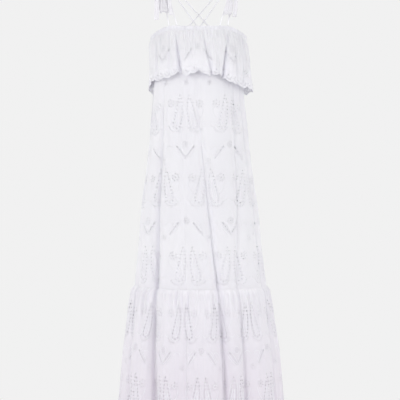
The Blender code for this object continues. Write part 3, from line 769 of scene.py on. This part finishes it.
def rosette_row(drape, v, shift):
    """Rosettes at half the motifs' width."""
    reach = float(drape.width(v)) / 2
    places = shift + 0.5 * MOTIF_WIDTH * np.arange(-4, 5)
    eyelets = []
    for place in places[np.abs(places) < reach]:
        eyelets += rosette(place, v, 6, 0.0058)
    return eyelets


def row_of(motif, shift, reach, *more):
    eyelets, threads = [], []
    most = math.ceil(reach / MOTIF_WIDTH) + 1
    for k in range(-most, most + 1):
        extra = ((k + more[0]) % 2 == 0,) if more else ()
        some = motif(shift + k * MOTIF_WIDTH, *extra)
        eyelets += some[0]
        threads += some[1]
    return eyelets, threads


def pattern(drape, top, paisley_rows, leaf_rows, border=None, size=1.0):
    """All of a panel's eyelets and threads, without those that its edges would cut."""
    eyelets, threads = border() if border else ([], [])
    for drop, shift, upright in leaf_rows:
        v = drop - top
        some = row_of(lambda u, up, v=v: leaf_pair(u, v, up), shift, drape.width(v) / 2, upright)
        eyelets, threads = eyelets + some[0], threads + some[1]
    for drop, shift in paisley_rows:
        v = drop - top
        some = row_of(lambda u, v=v: paisley_pair(u, v, size), shift, drape.width(v) / 2)
        eyelets, threads = eyelets + some[0], threads + some[1]
    last = drape.length - (THREAD_MARGIN if border is ruffle_border else EDGE_MARGIN)
    kept, taken = [], np.zeros((0, 3))
    for eyelet in eyelets:
        u, v, half_width, half_length = eyelet[:4]
        reach = max(half_width, half_length) + RIM_STEPS[-1][0]
        if not EDGE_MARGIN < v < last - half_length or abs(u) > drape.width(v) / 2 - EDGE_MARGIN:
            continue
        near = np.hypot(taken[:, 0] - u, taken[:, 1] - v) < taken[:, 2] + reach - RIM_OVERLAP
        if near.any():
            continue
        taken = np.vstack([taken, (u, v, reach)])
        kept.append(eyelet)
    lines = []
    for points, width in threads:
        inside = []
        for point in points:
            within = abs(point[0]) < drape.width(point[1]) / 2 - THREAD_MARGIN
            if within and THREAD_MARGIN < point[1] < drape.length - HEM_MARGIN:
                inside.append(point)
        if len(inside) > 2:
            lines.append((np.array(inside), width))
    return kept, lines


# Meshes


def flat_grid(drape, bands, hem):
    """Points of the flat cloth: bands of (first v, last v, step down, step across)."""
    rows = []
    for first, last, down, across in bands:
        count = max(1, int(round((last - first) / down)))
        rows += [(first + (last - first) * k / count, across) for k in range(count)]
    rows.append((bands[-1][1], bands[-1][3]))
    rows.insert(1, (rows[0][0] + RIM_ROW, rows[0][1]))
    rows.insert(-1, (rows[-1][0] - RIM_ROW, rows[-1][1]))
    points, rims = [], []
    for row, (v, across) in enumerate(rows):
        last = float(drape.width(v)) / 2 - SEAM_GAP
        scalloped = hem and row >= len(rows) - 2
        spaces = SCALLOPS * 8 if scalloped else int(round(2 * last / across))
        columns = np.linspace(-last, last, spaces + 1)
        columns = np.concatenate([[-last, RIM_ROW - last], columns[1:-1], [last - RIM_ROW, last]])
        for k, u in enumerate(columns):
            scallop = 1 - abs(math.sin(math.pi * (u / RUFFLE_CUT + 0.5) * SCALLOPS))
            edge = row in (0, len(rows) - 1) or k in (0, spaces + 2)
            if edge:
                rims.append((row, k, len(points)))
            points.append((u, v - SCALLOP_DEPTH * scallop * scalloped, edge))
    end = len(rows) - 1
    top = [n for row, k, n in rims if row == 0]
    bottom = [n for row, k, n in rims if row == end]
    left = [n for row, k, n in rims if k == 0][1:-1]
    right = [n for row, k, n in rims if k and 0 < row < end]
    loop = top + right + bottom[::-1] + left[::-1]
    return np.array(points), list(zip(loop, loop[1:] + loop[:1]))


def shell(name, drape, bands, eyelets, hem=False):
    """A panel of cloth with its eyelets cut and their satin rims raised."""
    grid, edges = flat_grid(drape, bands, hem)
    keep = np.ones(len(grid), bool)
    for u, v, half_width, half_length, _ in eyelets:
        size = max(half_width, half_length) + RIM_STEPS[-1][0] + RIM_ROOM
        keep &= (np.hypot(grid[:, 0] - u, grid[:, 1] - v) > size) | (grid[:, 2] > 0)
    number = np.cumsum(keep) - 1
    edges = [(int(number[a]), int(number[b])) for a, b in edges]
    flat = [grid[keep][:, :2]]
    raised = [np.zeros(int(keep.sum()))]
    owner = [np.full(int(keep.sum()), -1)]
    count = int(keep.sum())
    for index, (u, v, half_width, half_length, tilt) in enumerate(eyelets):
        sides = 8 if half_length < 0.003 else 12
        angles = 2 * np.pi * np.arange(sides) / sides
        for step, (grow, height) in enumerate(RIM_STEPS):
            across = (half_width + grow) * np.sin(angles)
            down = (half_length + grow) * np.cos(angles)
            ring_u = u + across * math.cos(tilt) + down * math.sin(tilt)
            ring_v = v + across * math.sin(tilt) - down * math.cos(tilt)
            flat.append(np.stack([ring_u, ring_v], axis=1))
            raised.append(np.full(sides, height))
            owner.append(np.full(sides, index if step == 0 else -1))
            if step == 0:
                edges += [(count + k, count + (k + 1) % sides) for k in range(sides)]
            count += sides
    flat, raised, owner = np.vstack(flat), np.concatenate(raised), np.concatenate(owner)
    found = delaunay_2d_cdt([Vector(p) for p in flat], edges, [], 1, 1e-7)
    corners = np.array([tuple(c) for c in found[0]])
    source = np.array([o[0] if o else -1 for o in found[3]])
    out = np.where(source >= 0, raised[source], 0.0)
    group = np.where(source >= 0, owner[source], -1)
    faces = np.array([f for f in found[2] if len(f) == 3])
    first, second, third = (group[faces[:, k]] for k in range(3))
    faces = faces[~((first >= 0) & (first == second) & (first == third))]
    places = drape(corners[:, 0], corners[:, 1], out)
    a, b, c = (places[faces[:, k]] for k in range(3))
    normals = np.cross(b - a, c - a)
    centres = (a + b + c) / 3
    if (normals[:, :2] * centres[:, :2]).sum() < 0:
        faces = faces[:, ::-1]
    faces = [tuple(int(n) for n in face) for face in faces]
    return thicken(smooth_mesh(name, [tuple(p) for p in places], faces), -1.0)


def thread_mesh(name, drape, threads):
    """Satin-stitched lines which lie on a panel, as low closed tubes."""
    profile = ((-0.5, 0.0), (-0.32, 0.8), (0.0, 1.15), (0.32, 0.8), (0.5, 0.0))
    flat, lift, faces, start = [], [], [], 0
    for line, width in threads:
        line = np.asarray(line, float)
        steps = np.gradient(line, axis=0)
        steps /= np.linalg.norm(steps, axis=1, keepdims=True) + 1e-12
        across = np.stack([steps[:, 1], -steps[:, 0]], axis=1)
        count = len(line)
        order = np.arange(count)
        ends = np.minimum(1, np.minimum(order, order[::-1]) * 0.5 + 0.35)
        rows = [line + across * (share * width * ends)[:, None] for share, _ in profile]
        flat.append(np.stack(rows, axis=1).reshape(-1, 2))
        lift.append(np.stack([THREAD_HEIGHT * height * ends for _, height in profile], axis=1).ravel())
        faces += tube_faces(start, count, len(profile))
        start += len(profile) * count
    flat = np.vstack(flat)
    places = drape(flat[:, 0], flat[:, 1], np.concatenate(lift) + 0.00002)
    return smooth_mesh(name, [tuple(p) for p in places], faces)


# Straps and bows


def smooth_path(points, count):
    given = [Vector(p) for p in points]
    given = [2 * given[0] - given[1]] + given + [2 * given[-1] - given[-2]]
    fine = []
    for a, b, c, d in zip(given, given[1:], given[2:], given[3:]):
        for k in range(24):
            t = k / 24
            fine.append(
                0.5 * (2 * b + (c - a) * t + (2 * a - 5 * b + 4 * c - d) * t * t
                       + (3 * b - a - 3 * c + d) * t ** 3)
            )
    fine.append(given[-2])
    lengths = np.array([(q - p).length for p, q in zip(fine, fine[1:])])
    run = np.concatenate([[0], np.cumsum(lengths)])
    at = np.linspace(0, run[-1], count)
    axes = [np.interp(at, run, [p[axis] for p in fine]) for axis in range(3)]
    return [Vector(p) for p in zip(*axes)]


def casing_top(x, front):
    half_width, depth = CASING_FORM[0] - CASING_WALL / 2, CASING_FORM[1 if front else 2] - CASING_WALL / 2
    share = math.sqrt(1 - (x / half_width) ** 2)
    y = -depth * share if front else depth * share
    turn = math.degrees(math.atan2(x / half_width, share if front else -share))
    drop = float(top_edge_drop(turn))
    gap = STRAP_FOOT_GAP_FRONT if front else STRAP_FOOT_GAP_BACK
    return Vector((x, y, -drop + gap))


def front_strap_points(side, x, spread):
    foot = casing_top(x, True)
    knot = SHOULDER + Vector((spread, -STRAP_AT_KNOT[0], STRAP_AT_KNOT[1]))
    points = [
        foot,
        foot + Vector((0, 0, 0.008)),
        foot.lerp(knot, 0.35) + Vector((0, -0.004, 0.006)),
        foot.lerp(knot, 0.70) + Vector((0, -0.004, 0.010)),
        knot + Vector((0, -0.008, -0.0035)),
        knot,
    ]
    return [(side * p.x, p.y, p.z) for p in points]


def back_strap_points(side, x, spread, lift):
    foot = casing_top(-x, False)
    knot = SHOULDER + Vector((spread, STRAP_AT_KNOT[0], STRAP_AT_KNOT[1]))
    points = [knot, knot + Vector((0, 0.008, -0.0030))]
    for drop, y in BACK_LINE:
        share = (drop + knot.z) / (knot.z - foot.z)
        near = max(0.0, 1 - abs(drop - CROSSING_DROP) / CROSSING_SPAN)
        out = lift * min(1.0, 2 * near)
        points.append(Vector((knot.x + (foot.x - knot.x) * share, y + out, -drop)))
    points += [foot + Vector((0, 0, 0.008)), foot]
    return [(side * p.x, p.y, p.z) for p in points]


def tube(name, path, radius, sides=14):
    """A round sewn tube with its seam pressed in along one side."""
    places = []
    count = len(path)
    previous = Vector((0, 0, 1))
    for k, place in enumerate(path):
        ahead = (path[min(k + 1, count - 1)] - path[max(k - 1, 0)]).normalized()
        first = (previous - ahead * previous.dot(ahead)).normalized()
        previous = first
        second = ahead.cross(first)
        for j in range(sides):
            angle = 2 * math.pi * j / sides
            seam = 0.14 * math.exp(-((angle - math.pi) / 0.35) ** 2)
            pucker = 0.05 * math.sin(k * 2.1 + 0.6 * math.sin(k * 0.7)) * math.cos(angle / 2) ** 2
            size = radius * (1 - seam + pucker)
            places.append(tuple(place + size * (math.cos(angle) * first + math.sin(angle) * second)))
    return smooth_mesh(name, places, tube_faces(0, count, sides))


def ribbon(name, path, widths, across, seed):
    """A bow's strip of cloth: lengthwise creases from the knot, and turned edges."""
    places, faces = [], []
    count, strips = len(path), 12
    for k, (place, width) in enumerate(zip(path, widths)):
        ahead = (path[min(k + 1, count - 1)] - path[max(k - 1, 0)]).normalized()
        out = ahead.cross(across).normalized()
        for j in range(strips + 1):
            share = j / strips - 0.5
            crease = 0.110 * width * float(noise(share * 5 + 0.010 * k, seed, 0.7))
            crease += 0.045 * width * float(noise(share * 12 - 0.02 * k, seed + 1))
            fall = 0.0016 * float(noise(k / count * 6, seed + 2)) * share
            places.append(tuple(place + across * (width * share) + out * (crease + fall)))
    for k in range(count - 1):
        for j in range(strips):
            n = k * (strips + 1) + j
            faces.append((n, n + 1, n + strips + 2, n + strips + 1))
    return thicken(smooth_mesh(name, places, faces), 0.0)


def knot(name, side):
    """A tied knot: a core, and the strap wrapped round it."""
    centre = Vector((side * SHOULDER.x, SHOULDER.y, SHOULDER.z))
    rings, sides = 14, 20
    places, faces = [], []
    for k in range(rings + 1):
        polar = math.pi * (0.02 + 0.96 * k / rings)
        for j in range(sides):
            angle = 2 * math.pi * j / sides
            fold = 1 - 0.09 * max(0.0, math.sin(3 * angle + 2.4 * math.cos(polar) * side)) ** 2
            x = math.sin(polar) * math.cos(angle) * KNOT_SIZE.x * fold
            y = math.sin(polar) * math.sin(angle) * KNOT_SIZE.y * fold
            z = math.cos(polar) * KNOT_SIZE.z * (0.92 + 0.08 * fold)
            places.append(tuple(centre + Vector((x, y, z))))
    for k in range(rings):
        for j in range(sides):
            a, b = k * sides + j, k * sides + (j + 1) % sides
            faces.append((a, a + sides, b + sides, b))
    faces.append(tuple(range(sides)))
    faces.append(tuple(reversed([rings * sides + j for j in range(sides)])))
    return smooth_mesh(name, places, faces)


# Materials


def set_inputs(node, values):
    for name, value in values.items():
        node.inputs[name].default_value = value


def shader_material(name, values):
    made = bpy.data.materials.new(name)
    made.use_nodes = True
    shader = made.node_tree.nodes["Principled BSDF"]
    set_inputs(shader, values)

    def join(giver, output, taker, socket):
        made.node_tree.links.new(giver.outputs[output], taker.inputs[socket])

    return made, made.node_tree.nodes, join, shader


def cloth_material(name, colour, low_colour, weave, roughness):
    """Matt cotton: a fine weave in bump, and a tone that darkens low down and shifts slowly."""
    made, nodes, join, shader = shader_material(name, {"Roughness": roughness, **COTTON})
    place = nodes.new("ShaderNodeTexCoord")
    split = nodes.new("ShaderNodeSeparateXYZ")
    join(place, "Object", split, 0)
    height = nodes.new("ShaderNodeMapRange")
    set_inputs(height, {"From Min": LOW_TONE_Z[0], "From Max": LOW_TONE_Z[1]})
    join(split, "Z", height, "Value")
    tone = nodes.new("ShaderNodeMix")
    tone.data_type = "RGBA"
    set_inputs(tone, {"A": (*low_colour, 1), "B": (*colour, 1)})
    join(height, "Result", tone, "Factor")
    cloudy = nodes.new("ShaderNodeTexNoise")
    set_inputs(cloudy, {"Scale": 9.0, "Detail": 4.0})
    join(place, "Object", cloudy, "Vector")
    shade = nodes.new("ShaderNodeMapRange")
    set_inputs(shade, {"From Min": 0.3, "From Max": 0.7, "To Min": 0.965, "To Max": 1.0})
    join(cloudy, "Fac", shade, "Value")
    mixed = nodes.new("ShaderNodeVectorMath")
    mixed.operation = "SCALE"
    join(tone, "Result", mixed, 0)
    join(shade, "Result", mixed, "Scale")
    join(mixed, "Vector", shader, "Base Color")
    waves = []
    for direction in ("X", "Z"):
        wave = nodes.new("ShaderNodeTexWave")
        wave.wave_type = "BANDS"
        wave.bands_direction = direction
        set_inputs(wave, {"Scale": weave, "Distortion": 0.6, "Detail": 1.0})
        join(place, "Object", wave, "Vector")
        waves.append(wave)
    weave_sum = nodes.new("ShaderNodeMath")
    weave_sum.operation = "ADD"
    join(waves[0], "Fac", weave_sum, 0)
    join(waves[1], "Fac", weave_sum, 1)
    bump = nodes.new("ShaderNodeBump")
    set_inputs(bump, {"Strength": 0.25, "Distance": 0.0003})
    join(weave_sum, "Value", bump, "Height")
    join(bump, "Normal", shader, "Normal")
    return made


def thread_material(name, colour):
    """Mercerised embroidery thread: fine parallel stitches with a soft shine, and painted shade between
    the stitches.
    """
    made, nodes, join, shader = shader_material(name, SATIN)
    place = nodes.new("ShaderNodeTexCoord")
    stitches = nodes.new("ShaderNodeTexWave")
    stitches.bands_direction = "DIAGONAL"
    set_inputs(stitches, {"Scale": 420.0, "Distortion": 1.5})
    join(place, "Object", stitches, "Vector")
    # Painted shade: the thread's colour is darker between its stitches
    tone = nodes.new("ShaderNodeMix")
    tone.data_type = "RGBA"
    set_inputs(tone, {"A": (*[c * STITCH_GROOVE_SHADE for c in colour], 1), "B": (*colour, 1)})
    join(stitches, "Fac", tone, "Factor")
    join(tone, "Result", shader, "Base Color")
    bump = nodes.new("ShaderNodeBump")
    set_inputs(bump, {"Strength": 0.5, "Distance": 0.0002})
    join(stitches, "Fac", bump, "Height")
    join(bump, "Normal", shader, "Normal")
    return made


def studio():
    """A pale floor that sweeps up behind the dress, and soft even light."""
    floor_z = -HEM_DROP - FLOOR_GAP
    bend_y = BACKDROP_Y - BEND
    line = [(-BACKDROP_HALF, floor_z), (bend_y, floor_z)]
    for k in range(1, BEND_STEPS + 1):
        angle = 0.5 * math.pi * k / BEND_STEPS
        line.append((bend_y + BEND * math.sin(angle), floor_z + BEND - BEND * math.cos(angle)))
    line.append((BACKDROP_Y, floor_z + BACKDROP_TALL))
    places = [(side * BACKDROP_HALF, y, z) for y, z in line for side in (-1, 1)]
    faces = [(2 * k, 2 * k + 1, 2 * k + 3, 2 * k + 2) for k in range(len(line) - 1)]
    floor = smooth_mesh("studio_floor", places, faces)
    floor.data.materials.append(shader_material("studio_paper", PAPER)[0])
    world = bpy.data.worlds.new("studio")
    bpy.context.scene.world = world
    world.use_nodes = True
    set_inputs(world.node_tree.nodes["Background"], {"Color": WHITE, "Strength": WORLD_STRENGTH})
    for name, place, size, power in LIGHTS:
        data = bpy.data.lights.new(name, "AREA")
        data.size = size
        data.energy = power
        light = new_object(name, data)
        light.location = place
        light.rotation_euler = (LIGHT_AIM - Vector(place)).to_track_quat("-Z", "Y").to_euler()
    bpy.context.scene.view_settings.view_transform = "Standard"


# The dress


def finish_piece(piece, material, nodes):
    piece.data.materials.append(material)
    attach(piece, "root")
    if nodes:
        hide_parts(*nodes)
    return piece


def panel_top(middle):
    return float(top_edge_drop(middle)) + CASING_HEIGHT + SEAM_GAP


def build_panel(part, side, drape, bands, found, cloth, thread, hem=False):
    eyelets, threads = found
    piece = shell(f"cloth_{part}_{side}", drape, bands, eyelets, hem)
    finish_piece(piece, cloth, [f"{part}_{side}"])
    stitches = []
    if threads:
        stitches = [thread_mesh(f"embroidery_{part}_{side}", drape, threads)]
        finish_piece(stitches[0], thread, [])
    flat = (float(drape.widths.max()), drape.length)
    area = min(drape.area(), 0.999 * flat[0] * flat[1])


def build_panels(cloth, thread):
    for side, middle in (("front", 0.0), ("back", 180.0)):
        top = panel_top(middle)
        length = TIER_SEAM_DROP - top
        drape = Drape(body_point, length, middle, body_creases)
        bands = ((0.0, 0.03, 0.006, 0.005), (0.03, length, 0.0085, 0.0042))
        rosettes = rosette_row(drape, BODY_ROSETTE_ROW[0] - top, BODY_ROSETTE_ROW[1])
        found = pattern(drape, top, BODY_PAISLEY_ROWS, BODY_LEAF_ROWS, lambda: (rosettes, []))
        build_panel("body", side, drape, bands, found, cloth, thread)
        drape = Drape(tier_point, TIER_LENGTH, middle, tier_creases, TIER_CUT, above=SEAM_LIP)
        found = pattern(drape, TIER_SEAM_DROP, TIER_PAISLEY_ROWS, TIER_LEAF_ROWS, size=TIER_EYELET_SIZE)
        build_panel("tier", side, drape, TIER_BANDS, found, cloth, thread)
        drape = Drape(ruffle_point, RUFFLE_LENGTH, middle, ruffle_creases, RUFFLE_CUT, above=SEAM_GAP)
        found = pattern(drape, top, (), RUFFLE_LEAF_ROWS, ruffle_border)
        build_panel("ruffle", side, drape, RUFFLE_BANDS, found, cloth, thread, True)
        drape = Drape(casing_point, CASING_HEIGHT, middle, casing_creases, RUFFLE_CUT, below=SEAM_LIP)
        build_panel("casing", side, drape, CASING_BANDS, ([], []), cloth, thread)


def build_straps_and_bows(trim, bow):
    for sign, label, parts in ((1, "right", BOW_RIGHT), (-1, "left", BOW_LEFT)):
        lift = CROSSING_LIFT if sign > 0 else 0.0
        lines = (
            ("front_inner", front_strap_points(sign, FRONT_STRAP_X[0], -STRAP_SPREAD)),
            ("front_outer", front_strap_points(sign, FRONT_STRAP_X[1], STRAP_SPREAD)),
            ("back_inner", back_strap_points(sign, BACK_STRAP_X[1], -STRAP_SPREAD, lift)),
            ("back_outer", back_strap_points(sign, BACK_STRAP_X[0], STRAP_SPREAD, lift)),
        )
        for where, points in lines:
            piece = tube(f"rouleau_{label}_{where}", smooth_path(points, 60), STRAP_RADIUS)
            finish_piece(piece, trim, [f"strap_{label}_{where}"])
        finish_piece(knot(f"tied_{label}_knot", sign), bow, [f"bow_{label}_knot"])
        for number, (part, at_knot, full, runs, line) in enumerate(parts):
            points = [(sign * (SHOULDER.x + out / MM), -ahead / MM, up / MM) for out, ahead, up in line]
            loop = part.startswith("loop")
            path = smooth_path(points, 56 if loop else 30)
            last = len(path) - 1
            widths = []
            for k in range(len(path)):
                share = min(k, last - k) * 2.2 / last if loop else k * 1.4 / last
                widths.append((at_knot + (full - at_knot) * min(1.0, share)) / MM)
            across = Vector((1, 0, 0)) if runs == "outwards" else Vector((0, 1, 0))
            seed = 50 + 10 * number + (5 if sign > 0 else 0)
            piece = ribbon(f"ribbon_{label}_{part}", path, widths, across, seed)
            finish_piece(piece, bow, [f"bow_{label}_{part}"])


set_camera()
studio()
cotton = cloth_material("white_cotton", CLOTH_COLOUR, CLOTH_LOW_COLOUR, 900.0, 0.9)
satin_thread = thread_material("white_thread", THREAD_COLOUR)
strap_cotton = cloth_material("strap_cotton", STRAP_COLOUR, STRAP_COLOUR, 1100.0, 0.8)
# The bows and knots get the cotton with painted shade
bow_shaded_cotton = cloth_material("bow_shaded_cotton", BOW_SHADED_COLOUR, BOW_SHADED_COLOUR, 1100.0, 0.8)
build_panels(cotton, satin_thread)
build_straps_and_bows(strap_cotton, bow_shaded_cotton)
